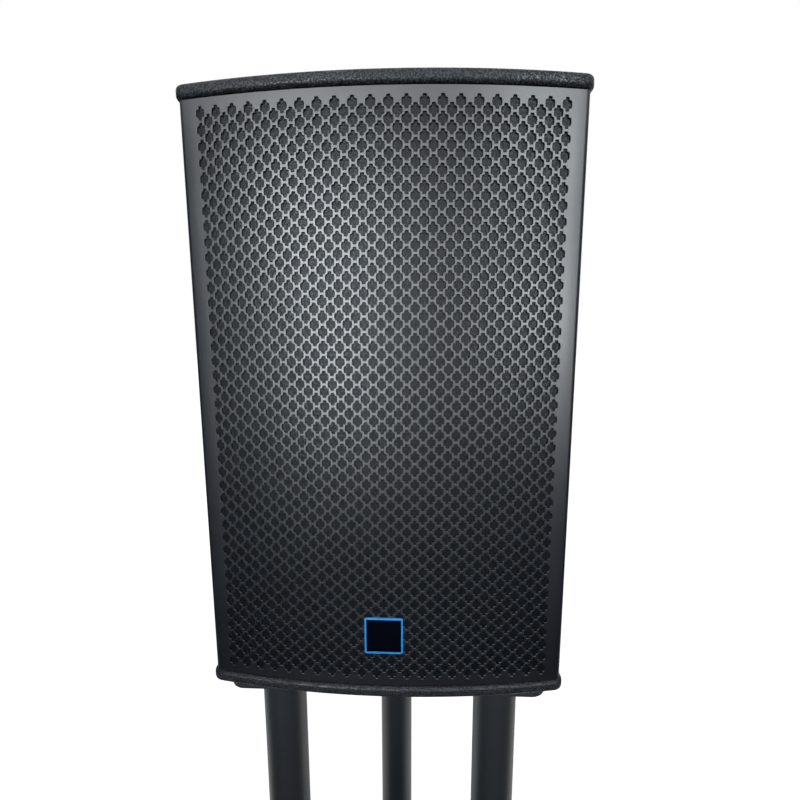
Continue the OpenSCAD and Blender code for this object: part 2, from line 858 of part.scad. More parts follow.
// Stand-offs with a screw end that goes into the panel and one that holds the board
module crossover_standoffs() {
  color("#c9b27a") board_screw_spots() {
    translate([0, 0, -standoff_l]) cylinder(r = standoff_r, h = standoff_l);
    translate([0, 0, -past]) cylinder(r = screw_r, h = wall_bite - fit + past);
    translate([0, 0, -standoff_l - board_t]) cylinder(r = screw_r, h = board_t + past);
  }
}

module on_board(x, z) {
  translate([x, board_y - board_t, board_z + z]) rotate([90, 0, 0]) children();
}

module crossover_inductors() {
  big_r = 24;
  big_x = 40 - board_w / 2;
  small_r = 18;
  small_x = 10;
  up = 15;
  color("#b5652f") {
    on_board(big_x, up) ring(big_r / 2, big_r, coil_l);
    on_board(small_x, up) ring(small_r / 2, small_r, coil_l);
  }
}

// Lying cans, flat on the board where they touch it
module crossover_capacitors() {
  can_d = 18;
  can_len = 40;
  seat = 1;
  pitch = 45;
  inset = 20;
  color("#3f6fae") for (k = [0 : 2])
    on_board(inset - board_w / 2 + k * pitch, inset - board_h / 2) intersection() {
      translate([0, 0, can_d / 2 - seat]) rotate([0, 90, 0]) cylinder(d = can_d, h = can_len);
      translate([-past, -can_d, 0]) cube([can_len + 2 * past, 2 * can_d, 2 * can_d]);
    }
}

// Terminals, on the outside of the back panel

module terminal_screw_spots() {
  x = terminal_w / 2 - terminal_inset;
  z = terminal_h / 2 - terminal_inset;
  for (sx = [-1, 1], sz = [-1, 1])
    translate([sx * x, back_y, terminal_z + sz * z]) rotate([90, 0, 0]) children();
}

module terminal_plate() {
  color("#1b1c1e") difference() {
    translate([0, back_y, terminal_z]) slab_y(terminal_t) rounded(terminal_w, terminal_h, terminal_r);
    for (s = [-1, 1]) translate([s * jack_pitch / 2, back_y - past, terminal_z]) backward()
      cylinder(r = jack_neck_r + fit, h = terminal_t + 2 * past);
    terminal_screw_spots() translate([0, 0, -terminal_t]) pilot(terminal_t);
  }
}

// A jack whose neck passes through the plate, with its nut outside
module jack(x) {
  out = terminal_t + nut_t + jack_lip;
  end = out - jack_depth - jack_end;
  color("#9a9c9f") translate([x, back_y, terminal_z]) backward() difference() {
    rotate_extrude() polygon([
      [0, end], [jack_body_r, end], [jack_body_r, 0], [jack_neck_r, 0],
      [jack_neck_r, terminal_t], [jack_body_r, terminal_t], [jack_body_r, terminal_t + nut_t],
      [jack_neck_r, terminal_t + nut_t], [jack_neck_r, out], [0, out]
    ]);
    translate([0, 0, out - jack_depth]) cylinder(r = jack_r, h = jack_depth + past);
  }
}

module input_jack() {
  jack(-jack_pitch / 2);
}

module link_jack() {
  jack(jack_pitch / 2);
}

module terminal_screws() {
  color("#3c3c3e") terminal_screw_spots() translate([0, 0, -terminal_t]) screw(terminal_t + wall_bite);
}

// Handles, with +X out of the side panel's face

module at_side() {
  translate([half_out(handle_y), handle_y, handle_z]) rotate([0, 0, taper_a]) children();
}

module handle_screw_spots() {
  y = handle_w / 2 - handle_inset;
  z = handle_h / 2 - handle_inset;
  at_side() for (sy = [-1, 1], sz = [-1, 1]) translate([0, sy * y, sz * z]) rotate([0, -90, 0]) children();
}

module handle() {
  color("#141415") difference() {
    at_side() difference() {
      union() {
        slab_x(handle_wall) rounded(handle_w, handle_h, pocket_r);
        translate([-pocket_d, 0, 0]) slab_x(pocket_d + thin)
          rounded(pocket_w + 2 * handle_wall, pocket_h + 2 * handle_wall, pocket_r);
      }
      translate([handle_wall - pocket_d, 0, 0]) slab_x(pocket_d + past)
        rounded(pocket_w, pocket_h, pocket_r - handle_wall);
    }
    handle_screw_spots() translate([0, 0, -handle_wall]) pilot(handle_wall);
  }
}

module left_handle() {
  mirror([1, 0, 0]) handle();
}

module right_handle() {
  handle();
}

module handle_screws() {
  color("#3c3c3e") both_sides() handle_screw_spots()
    translate([0, 0, -handle_wall]) screw(handle_wall + wall_bite);
}

// Underside of the cabinet

module pole_screw_spots() {
  for (k = [0 : 3]) translate([0, pole_y, cab_z]) rotate([0, 0, 45 + 90 * k])
    translate([pole_flange_r - pole_screw_in, 0, 0]) children();
}

module pole_socket() {
  color("#1d1e20") difference() {
    translate([0, pole_y, cab_z - pole_flange_t]) difference() {
      union() {
        cylinder(r = pole_flange_r, h = pole_flange_t);
        cylinder(r = pole_r + pole_wall, h = pole_depth + pole_wall);
      }
      translate([0, 0, -past]) cylinder(r = pole_r, h = pole_depth + past);
    }
    pole_screw_spots() translate([0, 0, -pole_flange_t]) pilot(pole_flange_t);
  }
}

module pole_socket_screws() {
  color("#3c3c3e") pole_screw_spots() translate([0, 0, -pole_flange_t])
    screw(pole_flange_t + panel_bite, head_t = pole_head_t);
}

module cabinet_feet() {
  color("#0f0f10") for (p = foot_spots) translate([p[0], p[1], cab_z - cab_foot_h]) difference() {
    cylinder(d = cab_foot_d, h = cab_foot_h);
    translate([0, 0, -past]) cylinder(r = screw_r + fit, h = cab_foot_h + 2 * past);
    translate([0, 0, -past]) cylinder(r = screw_head_r + fit, h = cab_sink + past);
  }
}

module cabinet_foot_screws() {
  seat = cab_foot_h - cab_sink;
  color("#3c3c3e") for (p = foot_spots) translate([p[0], p[1], cab_z - seat]) screw(seat + panel_bite);
}

// Stand

module stand_top_plate() {
  color("#232427") difference() {
    translate([0, plate_mid_y, plate_z]) linear_extrude(plate_t) rounded(plate_w, plate_d, plate_r);
    for (p = column_spots) translate([p[0], p[1], plate_z]) {
      translate([0, 0, -past]) cylinder(r = bolt_r + fit, h = plate_t + 2 * past);
      translate([0, 0, plate_t - bolt_head_t]) cylinder(r = bolt_head_r + fit, h = bolt_head_t + past);
    }
  }
}

module column(k) {
  color("#26282c") translate([column_spots[k][0], column_spots[k][1], column_z])
    ring(column_r - column_wall, column_r, column_l);
}

module left_column() {
  column(0);
}

module right_column() {
  column(1);
}

module rear_column() {
  column(2);
}

// Plugs fixed in the columns' ends, each bored for its bolt
module plugs(z) {
  for (p = column_spots) translate([p[0], p[1], z]) ring(bolt_r + fit, column_r - column_wall - fit, plug_l);
}

module top_plugs() {
  color("#77797c") plugs(plate_z - plug_l);
}

module base_plugs() {
  color("#77797c") plugs(column_z);
}

module top_plate_bolts() {
  color("#55575a") for (p = column_spots) translate([p[0], p[1], plate_z + plate_t - bolt_head_t])
    rotate([180, 0, 0]) screw(plate_t - bolt_head_t + plug_l - screw_end, bolt_r, bolt_head_r, bolt_head_t);
}

module base_plate_bolts() {
  color("#55575a") for (p = column_spots) translate([p[0], p[1], base_foot_h + bolt_head_t])
    screw(base_t - bolt_head_t + plug_l - screw_end, bolt_r, bolt_head_r, bolt_head_t);
}

module base_foot_spots() {
  for (sx = [-1, 1], sy = [-1, 1]) translate([sx * base_foot_x, sy * base_foot_y, 0]) children();
}

module stand_base_plate() {
  color("#1f2022") difference() {
    translate([0, 0, base_foot_h]) linear_extrude(base_t) rounded(base_w, base_d, base_r);
    for (p = column_spots) translate([p[0], p[1], base_foot_h]) {
      translate([0, 0, -past]) cylinder(r = bolt_r + fit, h = base_t + 2 * past);
      translate([0, 0, -past]) cylinder(r = bolt_head_r + fit, h = bolt_head_t + past);
    }
    base_foot_spots() translate([0, 0, base_foot_h]) pilot(base_t - screw_end);
  }
}

module base_feet() {
  color("#0f0f10") base_foot_spots() difference() {
    cylinder(d = base_foot_d, h = base_foot_h);
    translate([0, 0, -past]) cylinder(r = screw_r + fit, h = base_foot_h + 2 * past);
    translate([0, 0, -past]) cylinder(r = screw_head_r + fit, h = base_sink + past);
  }
}

module base_foot_screws() {
  color("#3c3c3e") base_foot_spots() translate([0, 0, base_sink])
    screw(base_foot_h - base_sink + base_t - screw_end);
}

top_panel();
bottom_panel();
left_side_panel();
right_side_panel();
back_panel();
front_baffle();
grille_battens();
grille();
grille_foam();
grille_screws();
badge();
woofer_frame();
woofer_gasket();
woofer_surround();
woofer_cone();
woofer_dust_cap();
woofer_voice_coil();
woofer_spider();
woofer_top_plate();
woofer_magnet();
woofer_back_plate();
woofer_screws();
horn();
horn_screws();
driver_body();
driver_bolts();
driver_diaphragm();
driver_cover();
left_port_tube();
right_port_tube();
crossover_board();
crossover_standoffs();
crossover_inductors();
crossover_capacitors();
terminal_plate();
input_jack();
link_jack();
terminal_screws();
left_handle();
right_handle();
handle_screws();
pole_socket();
pole_socket_screws();
cabinet_feet();
cabinet_foot_screws();
stand_top_plate();
left_column();
right_column();
rear_column();
top_plugs();
base_plugs();
top_plate_bolts();
base_plate_bolts();
stand_base_plate();
base_feet();
base_foot_screws();
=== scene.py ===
import math
from types import SimpleNamespace

import bmesh
import bpy
from bpy.props import FloatProperty, FloatVectorProperty, IntProperty, PointerProperty
from mathutils import Matrix, Vector, noise


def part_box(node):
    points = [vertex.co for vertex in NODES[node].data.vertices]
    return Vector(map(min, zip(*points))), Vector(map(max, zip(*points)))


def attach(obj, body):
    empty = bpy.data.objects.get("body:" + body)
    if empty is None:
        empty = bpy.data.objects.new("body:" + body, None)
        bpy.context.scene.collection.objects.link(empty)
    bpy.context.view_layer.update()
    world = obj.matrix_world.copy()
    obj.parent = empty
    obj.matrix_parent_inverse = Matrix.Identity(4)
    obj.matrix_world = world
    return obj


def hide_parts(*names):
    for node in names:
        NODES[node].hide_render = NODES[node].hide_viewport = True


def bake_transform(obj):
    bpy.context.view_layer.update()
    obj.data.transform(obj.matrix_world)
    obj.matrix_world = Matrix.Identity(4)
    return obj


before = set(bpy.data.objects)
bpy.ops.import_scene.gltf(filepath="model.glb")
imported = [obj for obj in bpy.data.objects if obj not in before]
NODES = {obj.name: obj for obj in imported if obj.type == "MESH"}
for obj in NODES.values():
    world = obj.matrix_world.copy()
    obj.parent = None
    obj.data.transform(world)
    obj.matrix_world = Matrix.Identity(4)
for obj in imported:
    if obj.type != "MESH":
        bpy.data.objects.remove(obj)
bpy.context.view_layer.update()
MM = 0.001

bl_info = {
    "name": "Loudspeaker on a stand",
    "version": (1, 0, 0),
    "blender": (4, 5, 0),
    "location": "View3D > Sidebar > Loudspeaker",
    "description": "Dresses a loudspeaker cabinet and its three-column floor stand",
    "category": "Object",
}


def linear(code):
    """An sRGB hex colour as linear red, green, blue and alpha."""
    parts = [int(code[k:k + 2], 16) / 255 for k in (1, 3, 5)]
    return [c / 12.92 if c <= 0.04045 else ((c + 0.055) / 1.055) ** 2.4 for c in parts] + [1.0]


# Sizes and colours that a user would change

def length(label, text, default):
    """A length in metres."""
    return FloatProperty(name=label, description=text, default=default, subtype="DISTANCE", unit="LENGTH")


def colour(label, text, code):
    """A colour whose default is a hex code."""
    return FloatVectorProperty(name=label, description=text, default=linear(code)[:3], subtype="COLOR")


class GrilleSizes(bpy.types.PropertyGroup):
    bow: length("Bow", "Radius of the bowed front", 1.1)
    bend: length("Bend", "Outside radius of the bends at the sides", 6 * MM)
    sheet: length("Sheet", "Thickness of the sheet", 1.2 * MM)
    pitch_x: length("Pitch across", "Distance between holes of a row", 16 * MM)
    pitch_z: length("Pitch down", "Distance between holes of a column", 14.3 * MM)
    columns: IntProperty(name="Columns", description="Holes in a full row", default=22)
    rows: IntProperty(name="Rows", description="Full rows of holes", default=40)


class WooferSizes(bpy.types.PropertyGroup):
    roll: length("Roll", "Radius of the surround's half-round roll", 9 * MM)
    roll_mid: length("Roll middle", "Radius of the roll's middle line", 119.5 * MM)
    lip: length("Lip", "Inner radius of the surround", 104.5 * MM)
    rubber: length("Rubber", "Thickness of the surround", 1 * MM)
    neck: length("Neck", "Inner radius of the spider", 37.8 * MM)
    cloth: length("Cloth", "Thickness of the spider", 0.8 * MM)
    waves: IntProperty(name="Waves", description="Full waves of the spider", default=4)
    sectors: IntProperty(name="Sectors", description="Sectors of the surround and the spider", default=16)


class Colours(bpy.types.PropertyGroup):
    grille: colour("Grille", "Powder coat of the grille", "#0c1018")
    cabinet: colour("Cabinet", "Textured paint of the cabinet", "#101114")
    stand: colour("Stand", "Powder coat of the stand", "#2c2f33")
    badge_rim: colour("Badge rim", "Line round the badge", "#2e96e6")
    badge_face: colour("Badge face", "Face of the badge", "#03060f")


class StageSizes(bpy.types.PropertyGroup):
    lens: FloatProperty(name="Lens", description="Focal length of the camera", default=19.496,
                        subtype="DISTANCE_CAMERA")
    floor: length("Floor", "Width of the floor", 60.0)


# Materials

def add(tree, kind, inputs=None, **settings):
    """Adds a node, sets its settings and gives each input a value or a link."""
    made = tree.nodes.new(kind)
    for key, value in settings.items():
        setattr(made, key, value)
    for key, value in (inputs or {}).items():
        if isinstance(value, bpy.types.NodeSocket):
            tree.links.new(value, made.inputs[key])
        else:
            made.inputs[key].default_value = value
    return made


def finish(name, dark, light, grain, relief, rough, metal=0.0, ior=1.5, level=0.5, stretch=(1, 1, 1),
           pattern="noise", detail=3.0, clouds=0.0, span=(0.25, 0.75)):
    """A surface whose colour, roughness and relief follow one grain of a real size.

    dark and light are linear colours, and grain, relief and clouds are in metres. span holds the heights
    at which the colour is all dark and all light, and rough the roughness there."""
    material = bpy.data.materials.new(name)
    material.use_nodes = True
    tree = material.node_tree
    shader = tree.nodes["Principled BSDF"]
    shader.inputs["Metallic"].default_value = metal
    shader.inputs["Specular IOR Level"].default_value = level
    if not metal:
        shader.inputs["IOR"].default_value = ior
    spot = add(tree, "ShaderNodeTexCoord").outputs["Object"]
    spot = add(tree, "ShaderNodeMapping", {"Vector": spot, "Scale": stretch}).outputs["Vector"]
    if pattern == "cells":
        cells = {"Vector": spot, "Scale": 1 / grain}
        height = add(tree, "ShaderNodeTexVoronoi", cells, feature="F1").outputs["Distance"]
    elif pattern == "bands":
        # At a scale of 1 the bands lie a tenth of pi apart
        bands = {"Vector": spot, "Scale": math.pi / 10 / grain, "Distortion": 0.3}
        height = add(tree, "ShaderNodeTexWave", bands, bands_direction="Y").outputs["Fac"]
    else:
        cloud = {"Vector": spot, "Scale": 1 / grain, "Detail": detail, "Roughness": 0.6}
        height = add(tree, "ShaderNodeTexNoise", cloud).outputs["Fac"]
    share = height
    if clouds:
        large = {"Vector": spot, "Scale": 1 / clouds, "Detail": 2.0}
        drift = add(tree, "ShaderNodeTexNoise", large).outputs["Fac"]
        share = add(tree, "ShaderNodeMix", {"Factor": 0.5, 2: height, 3: drift}).outputs[0]
    reach = {"Value": share, "From Min": span[0], "From Max": span[1]}
    share = add(tree, "ShaderNodeMapRange", reach).outputs["Result"]
    tint = add(tree, "ShaderNodeMix", {"Factor": share, 6: dark, 7: light}, data_type="RGBA").outputs[2]
    tree.links.new(tint, shader.inputs["Base Color"])
    spread = {"Value": share, "To Min": rough[0], "To Max": rough[1]}
    tree.links.new(add(tree, "ShaderNodeMapRange", spread).outputs["Result"], shader.inputs["Roughness"])
    bump = add(tree, "ShaderNodeBump", {"Strength": 1.0, "Distance": relief, "Height": height})
    tree.links.new(bump.outputs["Normal"], shader.inputs["Normal"])
    return material


def shade(rgb, factor):
    """A linear colour made darker or lighter, with full alpha."""
    return [c * factor for c in list(rgb)[:3]] + [1.0]


def colours():
    """The colours that the user has set."""
    return bpy.context.scene.loudspeaker_colours


def satin_powder_coat():
    """Satin polyester powder coat on steel: a smooth skin with a slight orange peel and a soft shine."""
    base = colours().grille
    return finish("satin_powder_coat", shade(base, 0.8), shade(base, 1.25), 3 * MM, 0.03 * MM, (0.33, 0.39),
                  ior=1.6, level=1.0, clouds=70 * MM)


def textured_paint():
    """Sprayed textured paint: black, with hard glossy blobs whose tops are painted lighter as painted
    glints, drawn 1.6 mm wide to show.
    """
    base = colours().cabinet
    # The light colour on the blob tops, 11 times the paint's own, is painted glint; their low roughness adds
    # real glints from the lamps
    return finish("textured_paint", shade(base, 0.3), shade(base, 11), 1.6 * MM, 0.28 * MM, (0.65, 0.16),
                  level=0.38, detail=1.0, span=(0.48, 0.64))


def fine_powder_coat():
    """Fine-texture powder coat on steel: dull, with a dense grit of about a millimetre."""
    base = colours().stand
    return finish("fine_powder_coat", shade(base, 0.8), shade(base, 1.3), 1.2 * MM, 0.05 * MM, (0.4, 0.5))


def open_cell_foam():
    """Open-cell polyether foam, dyed black: a faint sheen, with pores drawn 1.8 mm wide to show, their
    middles painted darker as painted shade.
    """
    # 010203 in the middles of the pores is painted shade; #131b22 on the cell walls is the foam's own black
    return finish("open_cell_foam", linear("#010203"), linear("#131b22"), 1.8 * MM, 0.2 * MM, (0.46, 0.32),
                  level=0.27, pattern="cells", span=(0.4, 0.7))


def gloss_acrylic():
    """Gloss acrylic: a hard clear face over dark print."""
    base = colours().badge_face
    return finish("gloss_acrylic", shade(base, 0.9), shade(base, 1.2), 8 * MM, 0.002 * MM, (0.16, 0.22),
                  ior=1.49)


def enamel_line():
    """Enamel line: even colour with a slight sheen."""
    base = colours().badge_rim
    return finish("enamel_line", shade(base, 0.92), shade(base, 1.06), 2 * MM, 0.01 * MM, (0.3, 0.4))


def sawn_spruce():
    """Sawn spruce: pale, with long dull grain."""
    return finish("sawn_spruce", linear("#a9824f"), linear("#cfae7b"), 2 * MM, 0.1 * MM, (0.7, 0.85),
                  stretch=(1, 1, 0.06))


def butyl_rubber():
    """Butyl rubber: dull black with a faint bloom."""
    return finish("butyl_rubber", linear("#0f0f10"), linear("#1b1b1d"), 1.5 * MM, 0.03 * MM, (0.7, 0.85))


def resin_cloth():
    """Cotton cloth set with phenolic resin: amber threads about 0.8 mm apart."""
    return finish("resin_cloth", linear("#8a6430"), linear("#c89a55"), 0.8 * MM, 0.1 * MM, (0.6, 0.8))


def basket_enamel():
    """Pressed steel under black enamel: satin, and even."""
    return finish("basket_enamel", linear("#17171a"), linear("#222226"), 4 * MM, 0.03 * MM, (0.4, 0.5))


def paper_pulp():
    """Pressed paper pulp: short fibres, dyed black."""
    return finish("paper_pulp", linear("#151516"), linear("#2a2a2c"), 1.2 * MM, 0.1 * MM, (0.8, 0.95),
                  stretch=(1, 1, 0.4))


def copper_winding():
    """Enamelled copper wire: bright turns, side by side about 0.8 mm apart."""
    return finish("copper_winding", linear("#7a3b16"), linear("#c9783a"), 0.8 * MM, 0.3 * MM, (0.3, 0.45),
                  metal=1.0, pattern="bands")


def zinc_plate():
    """Zinc-plated steel: turned, with a fine lay."""
    return finish("zinc_plate", linear("#8d9094"), linear("#b4b7ba"), 1 * MM, 0.01 * MM, (0.3, 0.45),
                  metal=1.0, stretch=(1, 6, 1))


def ground_ferrite():
    """Sintered ferrite: charcoal, ground flat."""
    return finish("ground_ferrite", linear("#1f2022"), linear("#2f3033"), 1.5 * MM, 0.05 * MM, (0.55, 0.7))


def black_zinc():
    """Black zinc on screws: dark metal with worn edges."""
    return finish("black_zinc", linear("#0d0d0f"), linear("#2a2b2e"), 1 * MM, 0.02 * MM, (0.35, 0.5),
                  metal=0.6)


def moulded_abs():
    """Moulded ABS: black, with a fine spark-eroded grain."""
    return finish("moulded_abs", linear("#101012"), linear("#1b1b1e"), 0.9 * MM, 0.05 * MM, (0.5, 0.65))


def diaphragm_film():
    """Polyimide film: amber grey, thin and glossy."""
    return finish("diaphragm_film", linear("#8c8478"), linear("#b9b2a6"), 4 * MM, 0.02 * MM, (0.3, 0.4))


def solder_mask():
    """Glass-fibre board under solder mask: green, with a slight gloss."""
    return finish("solder_mask", linear("#12351f"), linear("#1f5a35"), 3 * MM, 0.03 * MM, (0.3, 0.4))


def turned_brass():
    """Turned brass: yellow, with a fine lay."""
    return finish("turned_brass", linear("#a98545"), linear("#d9b872"), 0.8 * MM, 0.01 * MM, (0.2, 0.35),
                  metal=1.0, stretch=(1, 6, 1))


def shrunk_sleeve():
    """Shrunk plastic sleeve: blue, smooth and glossy."""
    return finish("shrunk_sleeve", linear("#1c3f78"), linear("#2c5aa3"), 5 * MM, 0.05 * MM, (0.25, 0.35))


def plate_enamel():
    """Steel plate under black enamel: satin, with a slight unevenness."""
    return finish("plate_enamel", linear("#131416"), linear("#1d1e21"), 2 * MM, 0.02 * MM, (0.4, 0.5))


def foot_rubber():
    """Moulded rubber: dull, with dust in its pores."""
    return finish("foot_rubber", linear("#0b0b0c"), linear("#1a1a1b"), 1.2 * MM, 0.06 * MM, (0.8, 0.95))


def black_velvet():
    """Black velvet: takes up all light."""
    return finish("black_velvet", linear("#040404"), linear("#080808"), 2 * MM, 0.1 * MM, (0.9, 1.0),
                  level=0.0)


# Helpers for the pieces

# Points that lie closer than this are one point
FIELD_GAP = 0.02 * MM
# A face looks along an axis if this share of its normal does
FACING = 0.9


def loop(bm, points):
    """A closed loop of edges through the points."""
    verts = [bm.verts.new(p) for p in points]
    return [bm.edges.new((a, b)) for a, b in zip(verts, verts[1:] + verts[:1])]


def circle(x, z, radius, steps):
    """Points round a circle that faces the front."""
    turns = [2 * math.pi * k / steps for k in range(steps)]
    return [(x + radius * math.cos(a), 0.0, z + radius * math.sin(a)) for a in turns]


def thicken(bm, vec):
    """Gives all the faces a thickness, with a copy of them moved by vec."""
    grown = bmesh.ops.extrude_face_region(bm, geom=bm.faces[:], use_keep_orig=True)["geom"]
    verts = [g for g in grown if isinstance(g, bmesh.types.BMVert)]
    bmesh.ops.translate(bm, verts=verts, vec=vec)


def bevel(bm, geom, offset, segments, affect="EDGES"):
    """Rounds edges or corners."""
    bmesh.ops.bevel(bm, geom=geom, offset=offset, segments=segments, profile=0.5, affect=affect, material=-1)


def soften(bm, limit=35):
    """Smooth faces with sharp edges where two faces meet at more than limit degrees."""
    for face in bm.faces:
        face.smooth = True
    for edge in bm.edges:
        edge.smooth = edge.calc_face_angle(math.pi) < math.radians(limit)


def mesh_object(name, bm, materials):
    """An object in the scene, made from a bmesh."""
    mesh = bpy.data.meshes.new(name)
    bm.to_mesh(mesh)
    bm.free()
    for material in materials:
        mesh.materials.append(material)
    made = bpy.data.objects.new(name, mesh)
    bpy.context.scene.collection.objects.link(made)
    return made


def piece(name, bm, body, slot, materials, *replaced):
    """A piece of the object, in place of CAD nodes, attached to its body if it has one."""
    made = mesh_object(name, bm, materials)
    if body:
        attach(made, body)
    if replaced:
        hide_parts(*replaced)
    return made


def dress(material, *nodes):
    """Gives CAD nodes one material."""
    for node in nodes:
        slots = NODES[node].data.materials
        slots.clear()
        slots.append(material)


# Grille

# One quarter of a hole, from its tip to its side, in millimetres
HOLE = ((1.4, 5.85), (1.8, 3.5), (3.85, 2.95), (4.3, 1.2))
# Worn edge of a punched hole under its coat
LIP = 0.3 * MM
BEND_STEPS = 6
# Room round a screw's head
SCREW_PLAY = 0.2 * MM
SCREW_STEPS = 16


def hole_points(x, z):
    """The outline of the four-lobed hole about a middle."""
    quarter = [(px * MM, pz * MM) for px, pz in HOLE]
    right = quarter + [(px, -pz) for px, pz in reversed(quarter)]
    left = [(-px, pz) for px, pz in reversed(right)]
    return [(x + px, 0, z + pz) for px, pz in right + left]


def hole_field(sizes, columns, rows):
    """A staggered lattice's every second row: six-sided tiles, each round one hole."""
    half_x, half_z = sizes.pitch_x / 2, sizes.pitch_z / 2
    reach = (half_x ** 2 + half_z ** 2) / 2
    side, tip = reach / half_x, (reach - half_z ** 2) / half_x
    x, z = -(columns - 1) * half_x, -(rows - 1) * half_z
    tile = ((side, 0), (tip, half_z), (-tip, half_z), (-side, 0), (-tip, -half_z), (tip, -half_z))
    bm = bmesh.new()
    border = loop(bm, [(x + px, 0, z + pz) for px, pz in tile])
    for edge in border:
        edge.seam = True
    bmesh.ops.triangle_fill(bm, use_beauty=True, edges=border + loop(bm, hole_points(x, z)))
    for step, count in (((sizes.pitch_x, 0, 0), columns), ((0, 0, sizes.pitch_z), rows)):
        geom = bm.verts[:] + bm.edges[:] + bm.faces[:]
        bmesh.ops.spin(bm, geom=geom, axis=(0, 0, 1), dvec=step, angle=0, steps=count - 1,
                       use_duplicate=True)
    return bm


def grille_line(sizes):
    """Where the grille's sheet bows and bends. Names in _s are lengths along it from its middle line."""
    low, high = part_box("grille")
    line = SimpleNamespace(half_w=high.x, half_h=(high.z - low.z) / 2, middle=(low.z + high.z) / 2)
    line.bow_y = low.y + sizes.bow
    line.bend_x = line.half_w - sizes.bend
    line.bend_a = math.asin(line.bend_x / (sizes.bow - sizes.bend))
    line.bend_y = line.bow_y - (sizes.bow - sizes.bend) * math.cos(line.bend_a)
    line.bow_s = sizes.bow * line.bend_a
    line.bend_s = line.bow_s + sizes.bend * (math.pi / 2 - line.bend_a)
    line.edge_s = line.bend_s + high.y - line.bend_y
    return line


def flat_front(sizes, line):
    """The grille's front, laid flat: its holes, the plain margin round them and the holes' edges."""
    bm = hole_field(sizes, sizes.columns, sizes.rows)
    second = hole_field(sizes, sizes.columns - 1, sizes.rows - 1)
    between = bpy.data.meshes.new("between")
    second.to_mesh(between)
    second.free()
    bm.from_mesh(between)
    bpy.data.meshes.remove(between)
    bmesh.ops.remove_doubles(bm, verts=bm.verts, dist=FIELD_GAP)
    rim = [e for e in bm.edges if e.seam and e.is_boundary]
    lips = [e for e in bm.edges if e.is_boundary and not e.seam]
    across, up = 2 * sizes.columns + 2, sizes.rows
    xs = [line.bow_s * (2 * k / across - 1) for k in range(across)]
    zs = [line.half_h * (2 * k / up - 1) for k in range(up)]
    outline = [(x, 0, -line.half_h) for x in xs] + [(line.bow_s, 0, z) for z in zs]
    outline += [(-x, 0, line.half_h) for x in xs] + [(-line.bow_s, 0, -z) for z in zs]
    bmesh.ops.triangle_fill(bm, use_beauty=True, edges=rim + loop(bm, outline))
    return bm, lips


def add_fold(bm, line, side):
    """Carries the flat sheet on along a bend and the fold behind it, with holes for the screws."""
    low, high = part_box("grille_screws")
    head = (high.y - low.y) / 2
    screw_s = line.bend_s + (low.y + high.y) / 2 - line.bend_y
    screw_z = high.z - line.middle - head
    step = side * (line.bend_s - line.bow_s) / BEND_STEPS
    edges = [e for e in bm.edges if all(abs(v.co.x - side * line.bow_s) < FIELD_GAP for v in e.verts)]
    for _ in range(BEND_STEPS):
        grown = bmesh.ops.extrude_edge_only(bm, edges=edges)["geom"]
        verts = [g for g in grown if isinstance(g, bmesh.types.BMVert)]
        bmesh.ops.translate(bm, verts=verts, vec=(step, 0, 0))
        edges = [g for g in grown if isinstance(g, bmesh.types.BMEdge)]
    ends = sorted({v for e in edges for v in e.verts}, key=lambda v: v.co.z)
    outer = [bm.verts.new((side * line.edge_s, 0, v.co.z)) for v in (ends[0], ends[-1])]
    chain = [ends[0], outer[0], outer[1], ends[-1]]
    edges += [bm.edges.new(pair) for pair in zip(chain, chain[1:])]
    for z in (-screw_z, 0, screw_z):
        edges += loop(bm, circle(side * screw_s, z, head + SCREW_PLAY, SCREW_STEPS))
    bmesh.ops.triangle_fill(bm, use_beauty=True, edges=edges)


def bow_sheet(bm, sizes, line):
    """Takes the flat sheet to its place on the bow, round the bends and along the folds."""
    for vert in bm.verts:
        s, depth, z = abs(vert.co.x), vert.co.y, line.middle + vert.co.z
        side = math.copysign(1, vert.co.x)
        if s <= line.bow_s:
            r, a = sizes.bow - depth, s / sizes.bow
            vert.co = (side * r * math.sin(a), line.bow_y - r * math.cos(a), z)
        elif s <= line.bend_s:
            r, a = sizes.bend - depth, line.bend_a + (s - line.bow_s) / sizes.bend
            vert.co = (side * (line.bend_x + r * math.sin(a)), line.bend_y - r * math.cos(a), z)
        else:
            vert.co = (side * (line.half_w - depth), line.bend_y + s - line.bend_s, z)


class LOUDSPEAKER_OT_grille(bpy.types.Operator):
    """Makes the bowed grille with its staggered four-lobed holes"""
    bl_idname = "loudspeaker.grille"
    bl_label = "Grille"

    def execute(self, context):
        sizes = context.scene.loudspeaker_grille
        line = grille_line(sizes)
        bm, lips = flat_front(sizes, line)
        for side in (-1, 1):
            add_fold(bm, line, side)
        thicken(bm, (0, sizes.sheet, 0))
        bevel(bm, lips, LIP, 1)
        bow_sheet(bm, sizes, line)
        bmesh.ops.recalc_face_normals(bm, faces=bm.faces)
        soften(bm)
        piece("perforated_grille", bm, "loudspeaker", "grille_coat", [satin_powder_coat()], "grille")
        return {"FINISHED"}


# Foam

FOAM_DEPTH = 5 * MM
FOAM_CELL = 2.5 * MM
# The foam's face lies this far behind the node's, with pits of this depth and width
FOAM_SINK = 0.3 * MM
PIT_DEPTH = 0.2 * MM
PIT_WIDTH = 3 * MM


